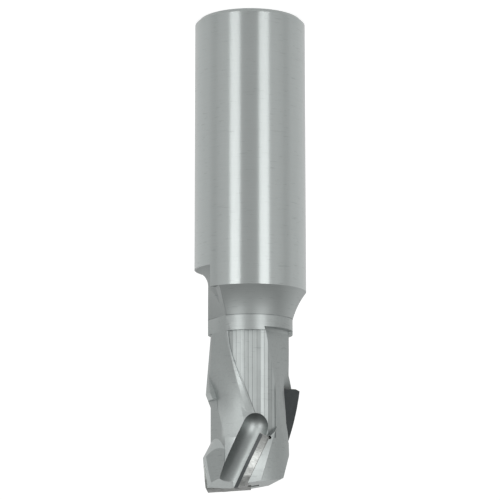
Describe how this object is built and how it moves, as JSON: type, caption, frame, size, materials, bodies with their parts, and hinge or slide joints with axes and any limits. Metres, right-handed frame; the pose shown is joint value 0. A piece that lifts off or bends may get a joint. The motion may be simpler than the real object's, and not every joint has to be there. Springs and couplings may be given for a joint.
{
  "type": "diamond router bit",
  "caption": "Diamond-tipped compression router bit: plain round shank, fluted head with brazed tips of opposite shear and a plunging end tip.",
  "frame": {"origin": "centre of the shank's end face, the lowest point of the tool", "axes": "+Z along the tool's axis from the shank to the cutting end; +X towards the end tip, whose rake face lies in the plane Y = 0 and faces +Y; the tool turns counter-clockwise about +Z when it cuts"},
  "size_m": [0.02, 0.02, 0.0857],
  "materials": {
    "tool_steel": "ground shank, milled head",
    "diamond": "dark satin diamond layer",
    "carbide": "ground bright carbide",
    "braze": "thin dull braze seam"
  },
  "bodies": {
    "root": {"tool_body": "tool_steel", "lower_tip_diamond": "diamond", "lower_tip_carbide": "carbide", "lower_tip_braze": "braze", "upper_tip_diamond": "diamond", "upper_tip_carbide": "carbide", "upper_tip_braze": "braze", "end_tip_carbide": "carbide", "end_tip_braze": "braze"}
  },
  "joints": []
}
